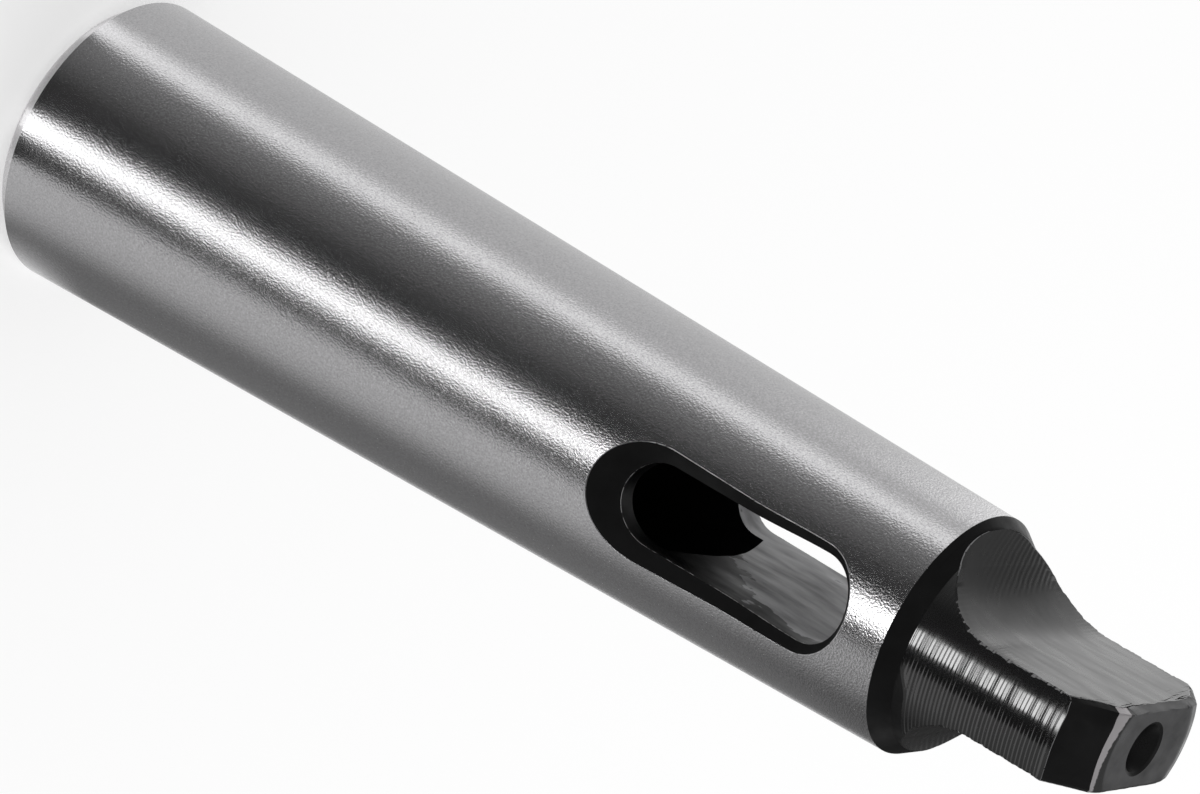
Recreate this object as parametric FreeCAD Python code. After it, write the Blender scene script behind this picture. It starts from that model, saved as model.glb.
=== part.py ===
import FreeCAD, Part
import math
import os

# A morse taper sleeve: a hardened reducing sleeve with a taper shank outside, a smaller
# taper socket inside, a drift slot through its side and a flat driving tang on its end.
#
# Frame, in millimetres: the sleeve stands on its large end, whose face lies at z = 0, and
# its axis is +Z with the tang on top. The drift slot passes through along X, and the two
# flats of the tang face +Y and -Y. Every height below is measured from the large end face.

# Whole sleeve
total_length = 140.0

# Outside taper, whose diameter grows by one millimetre in each outer_taper_run of length
outer_large_dia = 32.4
outer_taper_run = 19.254
outer_taper_length = 116.0
large_chamfer_length = 1.9
large_chamfer_depth = 1.65

# Shoulder and turned neck behind the tang
shoulder_length = 2.0
neck_dia = 23.7

# Tang: two flats milled in from its end, which run out on the radius of the cutter
tang_thickness = 9.0
tang_flat_length = 14.0
tang_cutter_radius = 9.4

# End of the tang: a broad chamfer, a shallow ring and the flat end face. They were cut
# with the sleeve a little off centre, so their axis lies this far towards -X, and the
# chamfer's length is that on the +X side, where it is longest
tang_end_offset = 0.6
tang_chamfer_length = 3.7
end_face_dia = 14.4
end_ring_width = 1.4
end_ring_drop = 0.4

# Taper socket, which opens at the large end
socket_mouth_dia = 23.825
socket_taper_run = 19.922
socket_mouth_bevel = 1.0

# Drift slot with round ends and a bevel all the way round both of its mouths. It ends
# this far short of the shoulder
slot_shoulder_gap = 5.7
slot_width = 8.7
slot_length = 28.2
slot_bevel = 1.5

# Straight relief bore at the bottom of the socket, as wide as the small end of its taper,
# which runs a little way into the drift slot and keeps the cone that its drill left
relief_bore_length = 15.4
relief_bore_in_slot = 5.5
drill_point_angle = 118.0

# Centre hole in the end of the tang: a guard bevel, a sixty degree seat and a pilot
centre_seat_dia = 5.4
centre_seat_angle = 60.0
centre_guard_width = 0.3
centre_guard_angle = 120.0
centre_pilot_dia = 2.5
centre_pilot_depth = 6.0

# Cutting tools reach this far past the surfaces that they cut through
overshoot = 5.0

# Points closer than this count as touching
touch = 0.001

# Heights that follow from the sizes above
slot_end = outer_taper_length - slot_shoulder_gap
slot_start = slot_end - slot_length
relief_bore_depth = slot_start + relief_bore_in_slot
socket_taper_length = relief_bore_depth - relief_bore_length

axis_base = FreeCAD.Vector(0, 0, 0)
axis_up = FreeCAD.Vector(0, 0, 1)


def cone_height(radius_change, included_angle):
    """Return how far a cone runs along its axis while its radius changes this much."""
    return radius_change / math.tan(math.radians(included_angle / 2))


def outer_radius(height):
    """Return the radius of the outside taper at a height above the large end face."""
    return (outer_large_dia - height / outer_taper_run) / 2


def socket_radius(height):
    """Return the radius of the taper socket at a height above the large end face."""
    return (socket_mouth_dia - height / socket_taper_run) / 2


def turned(outline):
    """Revolve an outline of (radius, height) corners about the sleeve's axis."""
    points = [FreeCAD.Vector(radius, 0, height) for radius, height in outline]
    face = Part.Face(Part.makePolygon(points + points[:1]))
    return face.revolve(axis_base, axis_up, 360)


def turned_blank():
    """Return the outside of the sleeve as the lathe and grinder leave it, still solid."""
    outline = [
        (0, 0),
        (outer_radius(0) - large_chamfer_depth, 0),
        (outer_radius(large_chamfer_length), large_chamfer_length),
        (outer_radius(outer_taper_length), outer_taper_length),
        (neck_dia / 2, outer_taper_length + shoulder_length),
        (neck_dia / 2, total_length),
        (0, total_length),
    ]
    return turned(outline)


def tang_end_envelope():
    """Return the space inside the chamfer, ring and end face of the tang."""
    face_radius = end_face_dia / 2
    ring_radius = face_radius + end_ring_width
    ring_start = total_length - end_ring_drop
    chamfer_start = total_length - tang_chamfer_length
    chamfer_radius = neck_dia / 2 + tang_end_offset
    slope = (chamfer_radius - ring_radius) / (ring_start - chamfer_start)
    base = outer_taper_length - overshoot
    outline = [
        (0, -overshoot),
        (outer_large_dia, -overshoot),
        (outer_large_dia, base),
        (ring_radius + slope * (ring_start - base), base),
        (ring_radius, ring_start),
        (face_radius, total_length),
        (0, total_length),
    ]
    envelope = turned(outline)
    envelope.translate(FreeCAD.Vector(-tang_end_offset, 0, 0))
    return envelope


def taper_socket():
    """Return the space inside: mouth bevel, taper, relief bore and drill point."""
    bevel_radius = socket_radius(socket_mouth_bevel)
    bore_radius = socket_radius(socket_taper_length)
    point_end = relief_bore_depth + cone_height(bore_radius, drill_point_angle)
    outline = [
        (0, -overshoot),
        (bevel_radius + socket_mouth_bevel + overshoot, -overshoot),
        (bevel_radius, socket_mouth_bevel),
        (bore_radius, socket_taper_length),
        (bore_radius, relief_bore_depth),
        (0, point_end),
    ]
    return turned(outline)


def drift_slot():
    """Return the straight slot that passes through the sleeve along X."""
    half_width = slot_width / 2
    low = slot_start + half_width
    high = slot_end - half_width
    reach = outer_large_dia / 2 + overshoot

    def corner(across, height):
        return FreeCAD.Vector(-reach, across, height)

    outline = Part.Wire([
        Part.LineSegment(corner(half_width, low), corner(half_width, high)).toShape(),
        Part.Arc(
            corner(half_width, high), corner(0, high + half_width), corner(-half_width, high)
        ).toShape(),
        Part.LineSegment(corner(-half_width, high), corner(-half_width, low)).toShape(),
        Part.Arc(
            corner(-half_width, low), corner(0, low - half_width), corner(half_width, low)
        ).toShape(),
    ])
    return Part.Face(outline).extrude(FreeCAD.Vector(2 * reach, 0, 0))


def lies_on_taper(edge):
    """Tell whether the whole of an edge lies on the outside taper."""
    for point in edge.discretize(5):
        if abs(math.hypot(point.x, point.y) - outer_radius(point.z)) > touch:
            return False
    return True


def slot_mouth_edges(sleeve):
    """Return the edges where the drift slot breaks out through the outside taper."""
    found = []
    for edge in sleeve.Edges:
        box = edge.BoundBox
        in_slot_height = box.ZMin > slot_start - touch and box.ZMax < slot_end + touch
        if in_slot_height and lies_on_taper(edge):
            found.append(edge)
    return found


def tang_cutter_sweep():
    """Return what the cutter takes off the +Y side of the tang."""
    flat = tang_thickness / 2
    flat_start = total_length - tang_flat_length
    centre_y = flat + tang_cutter_radius
    top = total_length + overshoot
    outside = max(centre_y, outer_large_dia / 2) + overshoot
    half_turn = math.sqrt(0.5) * tang_cutter_radius
    reach = outer_large_dia / 2 + overshoot

    def corner(y, z):
        return FreeCAD.Vector(-reach, y, z)

    run_out = Part.Arc(
        corner(flat, flat_start),
        corner(centre_y - half_turn, flat_start - half_turn),
        corner(centre_y, flat_start - tang_cutter_radius),
    )
    outline = Part.Wire([
        Part.LineSegment(corner(flat, top), corner(flat, flat_start)).toShape(),
        run_out.toShape(),
        Part.LineSegment(
            corner(centre_y, flat_start - tang_cutter_radius),
            corner(outside, flat_start - tang_cutter_radius),
        ).toShape(),
        Part.LineSegment(
            corner(outside, flat_start - tang_cutter_radius), corner(outside, top)
        ).toShape(),
        Part.LineSegment(corner(outside, top), corner(flat, top)).toShape(),
    ])
    return Part.Face(outline).extrude(FreeCAD.Vector(2 * reach, 0, 0))


def centre_hole():
    """Return the centre hole drilled into the end face of the tang."""
    seat_radius = centre_seat_dia / 2
    pilot_radius = centre_pilot_dia / 2
    guard_depth = cone_height(centre_guard_width, centre_guard_angle)
    guard_radius = seat_radius + centre_guard_width
    seat_end = guard_depth + cone_height(seat_radius - pilot_radius, centre_seat_angle)
    point_end = centre_pilot_depth + cone_height(pilot_radius, drill_point_angle)
    outline = [
        (0, total_length + overshoot),
        (guard_radius, total_length + overshoot),
        (guard_radius, total_length),
        (seat_radius, total_length - guard_depth),
        (pilot_radius, total_length - seat_end),
        (pilot_radius, total_length - centre_pilot_depth),
        (0, total_length - point_end),
    ]
    return turned(outline)


def taper_sleeve():
    """Return the finished sleeve, worked in the order of the real one."""
    blank = turned_blank().common(tang_end_envelope())
    sleeve = blank.cut(taper_socket()).cut(drift_slot())
    sleeve = sleeve.makeChamfer(slot_bevel, slot_mouth_edges(sleeve))
    cutter = tang_cutter_sweep()
    opposite = cutter.mirror(axis_base, FreeCAD.Vector(0, 1, 0))
    sleeve = sleeve.cut(cutter).cut(opposite).cut(centre_hole())
    return sleeve.Solids[0]


os.makedirs("parts", exist_ok=True)
sleeve = taper_sleeve()
print("valid", sleeve.isValid(), "volume", round(sleeve.Volume, 1), "faces", len(sleeve.Faces))
sleeve.exportStep("parts/taper_sleeve.step")
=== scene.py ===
"""Looks of the morse taper sleeve.

The sleeve is one turned, ground, milled and blackened piece, so its whole surface is one
closed skin that stands for the CAD node. The skin is made from patches that share their
border points, each patch has the finish of the operation that made it, several with painted
highlight, reflection and shade in their colour too, and the turned rings of the neck are raised by a
node tree.

Lengths are in millimetres up to the point where a mesh is written, which is in metres.
"""

import logging
import math
from dataclasses import dataclass, field
from enum import Enum

import bmesh
import bpy
from mathutils import Matrix, Vector


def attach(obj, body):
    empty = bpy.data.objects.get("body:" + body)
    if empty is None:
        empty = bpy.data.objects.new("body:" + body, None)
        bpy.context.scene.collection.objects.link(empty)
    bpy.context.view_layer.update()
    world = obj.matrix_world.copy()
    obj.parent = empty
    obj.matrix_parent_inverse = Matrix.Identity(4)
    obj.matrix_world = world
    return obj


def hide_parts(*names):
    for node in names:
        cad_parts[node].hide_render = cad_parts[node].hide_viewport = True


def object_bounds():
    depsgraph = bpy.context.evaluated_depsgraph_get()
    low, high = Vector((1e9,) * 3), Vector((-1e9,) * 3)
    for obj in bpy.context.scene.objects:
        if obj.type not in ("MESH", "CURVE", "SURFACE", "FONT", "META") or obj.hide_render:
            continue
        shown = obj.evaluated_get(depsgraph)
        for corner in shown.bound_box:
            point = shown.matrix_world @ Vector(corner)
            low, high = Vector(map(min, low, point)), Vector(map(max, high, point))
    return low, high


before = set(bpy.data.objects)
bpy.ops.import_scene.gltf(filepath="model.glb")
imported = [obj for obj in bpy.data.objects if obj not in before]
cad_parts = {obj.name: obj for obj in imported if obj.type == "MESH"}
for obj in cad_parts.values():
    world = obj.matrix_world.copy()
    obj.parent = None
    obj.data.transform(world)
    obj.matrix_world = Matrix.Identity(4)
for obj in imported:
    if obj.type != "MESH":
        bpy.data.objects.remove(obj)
CAD_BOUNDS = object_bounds()

MM = 0.001
NODE = "taper_sleeve"
BODY = "root"

log = logging.getLogger("taper_sleeve")

Pair = tuple[float, float]
Triple = tuple[float, float, float]
Point = Triple
Row = list[Point]
Socket = bpy.types.NodeSocket

# The relief of a finish and the inputs of its shader
Look = tuple[Socket, dict[str, object]]

# Points that fall in one cell become one point, and a millimetre holds this many cells
CELLS = 5000

# Lengths smaller than this count as nothing
TOUCH = 1e-6

# Height, rate and start of the waves that add up to an uneven one, and what they span
WAVES = ((1.0, 1.0, 0.0), (0.8, 1.7, 1.3), (0.7, 3.1, 0.4))
WAVE_SPAN = 5.0


class Finish(Enum):
    """What each part of the surface was finished with, in the order of the materials."""

    GROUND = "ground_steel"
    TURNED = "blackened_turned_steel"
    MILLED = "blackened_milled_steel"
    BEVEL = "blackened_bevel"
    WALL = "blackened_slot_wall"
    BORE = "blackened_bore"
    EDGE = "worn_edge"
    LIP = "lip_painted_highlight"
    RING = "faced_ring_painted_highlight"
    FACE = "blackened_end_face"
    CHAMFER = "end_chamfer_painted_reflection"


FINISH_INDEX = {finish: index for index, finish in enumerate(Finish)}


@dataclass(frozen=True)
class Sizes:
    """The sleeve's own sizes in millimetres, measured from its large end face."""

    length: float
    outer_large_dia: float = 32.4
    outer_taper_run: float = 19.254
    outer_taper_length: float = 116.0
    large_chamfer_length: float = 1.9
    large_chamfer_depth: float = 1.65
    shoulder_length: float = 2.0
    neck_dia: float = 23.7
    tang_thickness: float = 9.0
    tang_flat_length: float = 14.0
    tang_cutter_radius: float = 9.4
    tang_end_offset: float = 0.6
    tang_chamfer_length: float = 3.7
    end_face_dia: float = 14.4
    end_ring_width: float = 1.4
    end_ring_drop: float = 0.4
    socket_mouth_dia: float = 23.825
    socket_taper_run: float = 19.922
    socket_mouth_bevel: float = 1.0
    slot_shoulder_gap: float = 5.5
    slot_width: float = 8.8
    slot_length: float = 28.2
    slot_bevel_low: float = 3.2
    slot_bevel_high: float = 0.8
    slot_end_swell: float = 0.35
    slot_bevel_side: Pair = (1.95, 1.0)
    slot_bevel_depth: Pair = (1.9, 1.1)
    slot_far_bevel_depth: Pair = (0.6, 0.8)
    relief_bore_length: float = 15.4
    relief_bore_in_slot: float = 5.5
    drill_point_angle: float = 135.0
    centre_seat_dia: float = 5.4
    centre_seat_angle: float = 60.0
    centre_guard_width: float = 0.3
    centre_guard_angle: float = 120.0
    centre_pilot_dia: float = 2.5
    centre_pilot_depth: float = 6.0
    centre_point_angle: float = 118.0
    edge_break: float = 0.09

    @property
    def slot_end(self) -> float:
        """Height of the drift slot's upper end."""
        return self.outer_taper_length - self.slot_shoulder_gap

    @property
    def slot_start(self) -> float:
        """Height of the drift slot's lower end."""
        return self.slot_end - self.slot_length

    @property
    def bore_depth(self) -> float:
        """Height at which the relief bore's full width ends."""
        return self.slot_start + self.relief_bore_in_slot

    @property
    def socket_length(self) -> float:
        """Height at which the taper socket meets the relief bore."""
        return self.bore_depth - self.relief_bore_length

    @property
    def bore_tip(self) -> float:
        """Height of the point that the drill left."""
        bore = self.socket_radius(self.socket_length)
        return self.bore_depth + cone_height(bore, self.drill_point_angle)

    def outer_radius(self, z: float) -> float:
        """Radius of the outside taper at height z."""
        return (self.outer_large_dia - z / self.outer_taper_run) / 2

    def socket_radius(self, z: float) -> float:
        """Radius of the taper socket at height z."""
        return (self.socket_mouth_dia - z / self.socket_taper_run) / 2

    def inner_radius(self, z: float) -> float:
        """Radius of the space inside.

        Args:
            z: The height.

        Returns:
            The radius, which is 0 above the drill point.
        """
        if z <= self.socket_length:
            return self.socket_radius(z)
        bore = self.socket_radius(self.socket_length)
        cone = (self.bore_tip - z) / cone_height(1.0, self.drill_point_angle)
        return max(0.0, min(bore, cone))

    def half_tang(self, z: float) -> float:
        """Half the tang's thickness.

        Args:
            z: The height.

        Returns:
            The half thickness, which grows where the cutter ran out.
        """
        short = self.length - self.tang_flat_length - z
        if short <= 0:
            return self.tang_thickness / 2
        radius = self.tang_cutter_radius
        if short >= radius:
            return self.tang_thickness / 2 + radius
        return self.tang_thickness / 2 + radius - math.sqrt(radius**2 - short**2)


def spread(low: float, high: float, steps: int) -> list[float]:
    """Return steps + 1 values, evenly spaced from low to high."""
    return [low + (high - low) * i / steps for i in range(steps + 1)]


def metres(lengths: tuple[float, ...]) -> list[float]:
    """Return lengths in metres, or a point whose parts are in metres."""
    return [length * MM for length in lengths]


def put_in_scene(name: str, data: bpy.types.ID) -> bpy.types.Object:
    """Make an object and link it to the scene.

    Args:
        name: Its name.
        data: Its mesh, lamp or camera data.

    Returns:
        The object.
    """
    made = bpy.data.objects.new(name, data)
    bpy.context.scene.collection.objects.link(made)
    return made


def cone_height(radius_change: float, included_angle: float) -> float:
    """Return how far a cone runs along its axis while its radius changes this much."""
    return radius_change / math.tan(math.radians(included_angle / 2))


def smooth(share: float) -> float:
    """Return a smooth step from 0 to 1."""
    share = max(0.0, min(1.0, share))
    return share * share * (3 - 2 * share)


def ramp(value: float, start: float, end: float) -> float:
    """Return a smooth step from 0 at the start to 1 at the end, which may lie lower."""
    return smooth((value - start) / (end - start))


def ripple(place: float, pitch: float) -> float:
    """Return an uneven wave between 0 and 1.

    Args:
        place: Where along a line the wave is read.
        pitch: The length of its longest waves.

    Returns:
        The wave's height there.
    """
    turn = 2 * math.pi * place / pitch
    total = sum(height * math.sin(rate * turn + start) for height, rate, start in WAVES)
    return 0.5 + total / WAVE_SPAN


def between(first: Row, last: Row, steps: int) -> list[Row]:
    """Return rows that run straight from one row to another, both included.

    Args:
        first: The row to start from.
        last: The row to end at, with as many points.
        steps: How many bands lie between the two.

    Returns:
        The rows in order.
    """
    rows = []
    for share in spread(0.0, 1.0, steps):
        rows.append([tuple(a + (b - a) * share for a, b in zip(p, q)) for p, q in zip(first, last)])
    return rows


def ring_row(radius: float, z: float, low: float, high: float, columns: int) -> Row:
    """Return points on a circle at height z.

    Args:
        radius: The circle's radius.
        z: Its height.
        low: The first angle from the X axis, in radians.
        high: The last angle.
        columns: How many steps lie between them.

    Returns:
        The row of points.
    """
    return [(radius * math.cos(a), radius * math.sin(a), z) for a in spread(low, high, columns)]


class Skin:
    """The patches of one closed surface that is symmetric about the X and Y planes.

    Only the quarter with x and y above 0 is given. Its mirror images are added here, and
    points that coincide become one.
    """

    def __init__(self) -> None:
        """Start with no points and no faces."""
        self.points: list[Point] = []
        self.turned: list[float] = []
        self.index: dict[tuple[int, int, int], int] = {}
        self.faces: dict[tuple[int, ...], tuple[tuple[int, ...], int]] = {}

    def point(self, place: Point, turned: float) -> int:
        """Find a point, or make it if it is new.

        Args:
            place: Where the point lies.
            turned: How strongly it takes the turned rings.

        Returns:
            The point's number.
        """
        key = tuple(round(c * CELLS) for c in place)
        if key not in self.index:
            self.index[key] = len(self.points)
            self.points.append(place)
            self.turned.append(0.0)
        number = self.index[key]
        self.turned[number] = max(self.turned[number], turned)
        return number

    def patch(self, rows: list[Row], finish: Finish, turned: list[float] | None = None,
              side: int = 0) -> None:
        """Add a grid of faces and its mirror images.

        Args:
            rows: Rows of points, all of one length.
            finish: The finish of its faces.
            turned: How strongly each row takes the turned rings, or None for not at all.
            side: The side of the X plane that it is for, 1 for +X, -1 for -X and 0 for both.
        """
        weights = turned or [0.0] * len(rows)
        for side_x in (side,) if side else (1, -1):
            for side_y in (1, -1):
                numbers = [
                    [self.point((x * side_x, y * side_y, z), weight) for x, y, z in row]
                    for row, weight in zip(rows, weights)
                ]
                self._fill(numbers, FINISH_INDEX[finish])

    def _fill(self, numbers: list[list[int]], finish: int) -> None:
        """Join rows of numbered points by faces, without those that have no area.

        Args:
            numbers: The rows, as numbers of points.
            finish: The number of the finish of the faces.
        """
        for low, high in zip(numbers, numbers[1:]):
            for i in range(len(low) - 1):
                corners = [low[i], low[i + 1], high[i + 1], high[i]]
                loop = [c for k, c in enumerate(corners) if c != corners[k - 1]]
                if len(set(loop)) >= 3:
                    self.faces.setdefault(tuple(sorted(set(loop))), (tuple(loop), finish))

    def build(self, name: str) -> bpy.types.Object:
        """Write the mesh in metres, facing outwards.

        Args:
            name: The name of the object and its mesh.

        Returns:
            The object, linked to the scene.
        """
        mesh = bpy.data.meshes.new(name)
        loops = [loop for loop, _ in self.faces.values()]
        mesh.from_pydata([metres(place) for place in self.points], [], loops)
        mesh.polygons.foreach_set("material_index", [finish for _, finish in self.faces.values()])
        weights = mesh.attributes.new("turned", "FLOAT", "POINT")
        weights.data.foreach_set("value", self.turned)
        work = bmesh.new()
        work.from_mesh(mesh)
        bmesh.ops.recalc_face_normals(work, faces=work.faces)
        work.to_mesh(mesh)
        open_edges = sum(1 for edge in work.edges if len(edge.link_faces) != 2)
        work.free()
        mesh.shade_smooth()
        log.info("%s: %d points, %d faces, %d open edges", name, len(mesh.vertices),
                 len(mesh.polygons), open_edges)
        return put_in_scene(name, mesh)


@dataclass
class DriftSlot:
    """The slot through the sleeve: its outline, bevelled mouths and walls."""

    sizes: Sizes
    skin: Skin
    arc_steps: int = 20
    bore_steps: int = 2
    cone_steps: int = 8
    straight_steps: int = 12
    bevel_steps: int = 12
    wall_steps: int = 8
    swell_from: float = 0.375

    def outline(self) -> list[tuple[float, float, float, float]]:
        """Return half of the slot's outline, from its lower tip to its upper tip.

        Returns:
            For each point its y and z, and the y and z parts of its outward direction.
        """
        s = self.sizes
        half = s.slot_width / 2
        low = s.slot_start + half
        high = s.slot_end - half
        closing = s.bore_tip - cone_height(half, s.drill_point_angle)
        heights = spread(low, s.bore_depth, self.bore_steps)[1:]
        heights += spread(s.bore_depth, closing, self.cone_steps)[1:]
        heights += spread(closing, high, self.straight_steps)[1:-1]
        found = []
        for a in spread(-math.pi / 2, 0.0, self.arc_steps):
            found.append((half * math.cos(a), low + half * math.sin(a), math.cos(a), math.sin(a)))
        for z in heights:
            swell = ramp((z - closing) / (high - closing), self.swell_from, 1.0)
            found.append((half + s.slot_end_swell * swell, z, 1.0, 0.0))
        for a in spread(0.0, math.pi / 2, self.arc_steps):
            wide = half + s.slot_end_swell
            found.append((wide * math.cos(a), high + half * math.sin(a), math.cos(a), math.sin(a)))
        return found

    def rim(self, inset: float = 0.0) -> Row:
        """Return the slot's rim on the outside taper, as far out as the bevel reaches.

        Args:
            inset: How far inside the true rim the row lies.

        Returns:
            The half outline from the lower tip to the upper tip, on the +X side.
        """
        s = self.sizes
        row = []
        for y, z, out_y, out_z in self.outline():
            side = self.graded(s.slot_bevel_side, z)
            end = s.slot_bevel_low if out_z < 0 else s.slot_bevel_high
            reach = side * out_y**2 + end * out_z**2 - inset
            y_rim, z_rim = y + out_y * reach, z + out_z * reach
            row.append((math.sqrt(s.outer_radius(z_rim) ** 2 - y_rim**2), y_rim, z_rim))
        return row

    def graded(self, ends: Pair, z: float) -> float:
        """Return a size that changes evenly from the slot's lower end to its upper end."""
        share = (z - self.sizes.slot_start) / self.sizes.slot_length
        return ends[0] + (ends[1] - ends[0]) * share

    def lip(self, side: int, deeper: float = 0.0) -> Row:
        """Return the inner edge of the bevel, where the slot's wall begins.

        Args:
            side: 1 for the mouth on +X and -1 for the one on -X.
            deeper: How much further in the row lies.

        Returns:
            The half outline from the lower tip to the upper tip.
        """
        s = self.sizes
        depths = s.slot_bevel_depth if side > 0 else s.slot_far_bevel_depth
        row = []
        for y, z, _, _ in self.outline():
            surface = math.sqrt(s.outer_radius(z) ** 2 - y**2)
            row.append((surface - self.graded(depths, z) - deeper, y, z))
        return row

    def inner_end(self) -> Row:
        """Return where the wall ends inside.

        Returns:
            The half outline, at the bore or halfway through the sleeve.
        """
        s = self.sizes
        return [
            (math.sqrt(max(0.0, s.inner_radius(z) ** 2 - y**2)), y, z)
            for y, z, _, _ in self.outline()
        ]

    def add(self) -> None:
        """Add the broken edges, the bevels and the walls."""
        edge = self.sizes.edge_break
        outer, outer_low = self.rim(), [(x - edge / 2, y, z) for x, y, z in self.rim(edge)]
        for side in (1, -1):
            lip, lip_low = self.lip(side, -edge / 2), self.lip(side, edge / 2)
            wall = between(lip_low, self.inner_end(), self.wall_steps)
            self.skin.patch([outer, outer_low], Finish.EDGE, side=side)
            self.skin.patch(between(outer_low, lip, self.bevel_steps), Finish.BEVEL, side=side)
            self.skin.patch([lip, lip_low], Finish.LIP, side=side)
            self.skin.patch(wall, Finish.WALL, side=side)


@dataclass
class TaperShank:
    """The ground outside taper, the chamfered large end and the space inside."""

    sizes: Sizes
    skin: Skin
    slot: DriftSlot
    columns: int
    row_height: float = 2.5
    chamfer_steps: int = 5
    end_steps: int = 3

    def heights(self, low: float, high: float) -> list[float]:
        """Return heights from low to high, about row_height apart."""
        return spread(low, high, max(1, round((high - low) / self.row_height)))

    def row(self, radius: float, z: float, low: float = 0.0) -> Row:
        """Return a part of a circle at height z, from the angle low to the Y axis."""
        return ring_row(radius, z, low, math.pi / 2, self.columns)

    def add_outside(self) -> None:
        """Add the ground taper, which leaves out the slot's mouths."""
        s = self.sizes
        rim = self.slot.rim()
        below = self.heights(s.large_chamfer_length, rim[0][2])[:-1]
        above = self.heights(rim[-1][2], s.outer_taper_length)[1:]
        rows = [self.row(s.outer_radius(z), z) for z in below]
        rows += [self.row(s.outer_radius(z), z, math.atan2(y, x)) for x, y, z in rim]
        rows += [self.row(s.outer_radius(z), z) for z in above]
        self.skin.patch(rows, Finish.GROUND)

    def add_large_end(self) -> None:
        """Add the outer chamfer, the flat face and the bevel of the socket's mouth."""
        s = self.sizes
        outline = [
            self.row(s.outer_radius(s.large_chamfer_length), s.large_chamfer_length),
            self.row(s.outer_radius(0.0) - s.large_chamfer_depth, 0.0),
            self.row(s.socket_radius(s.socket_mouth_bevel) + s.socket_mouth_bevel, 0.0),
            self.row(s.socket_radius(s.socket_mouth_bevel), s.socket_mouth_bevel),
        ]
        all_steps = (self.chamfer_steps, self.end_steps, self.end_steps)
        for first, last, steps in zip(outline, outline[1:], all_steps):
            # All three wear the pale chamfer finish, partly a painted reflection of the floor
            self.skin.patch(between(first, last, steps), Finish.CHAMFER)

    def add_inside(self) -> None:
        """Add the taper socket, the relief bore and the drill cone around the slot."""
        s = self.sizes
        below = self.heights(s.socket_mouth_bevel, s.socket_length)
        below += self.heights(s.socket_length, s.slot_start)[1:-1]
        rows = [self.row(s.inner_radius(z), z) for z in below]
        for x, y, z in self.slot.inner_end():
            rows.append(self.row(s.inner_radius(z), z, math.atan2(y, x)))
            if x < TOUCH and z > s.bore_depth:
                break
        self.skin.patch(rows, Finish.BORE)

    def add(self) -> None:
        """Add the whole shank."""
        self.add_outside()
        self.add_large_end()
        self.add_inside()


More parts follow.
